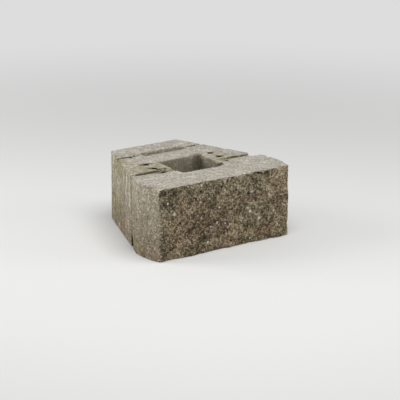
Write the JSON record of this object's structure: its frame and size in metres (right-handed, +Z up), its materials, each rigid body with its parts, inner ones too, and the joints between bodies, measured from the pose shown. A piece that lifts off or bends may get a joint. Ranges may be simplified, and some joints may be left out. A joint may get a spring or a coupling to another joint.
{
  "type": "split-face retaining wall block",
  "caption": "Cast concrete retaining wall block with a split front face, bulging wings, a tapered tail, a core, pin holes and a break-off slot.",
  "frame": {"origin": "centre of the bounding box on the bed (underside) plane", "axes": "+X along the face width, +Y from the split face towards the tail, +Z up"},
  "size_m": [0.457, 0.41, 0.203],
  "materials": {
    "concrete": "dry-cast grey-buff concrete, smooth formed sides, rough split front with exposed aggregate"
  },
  "bodies": {
    "root": {"wall_block": "concrete"}
  },
  "joints": []
}
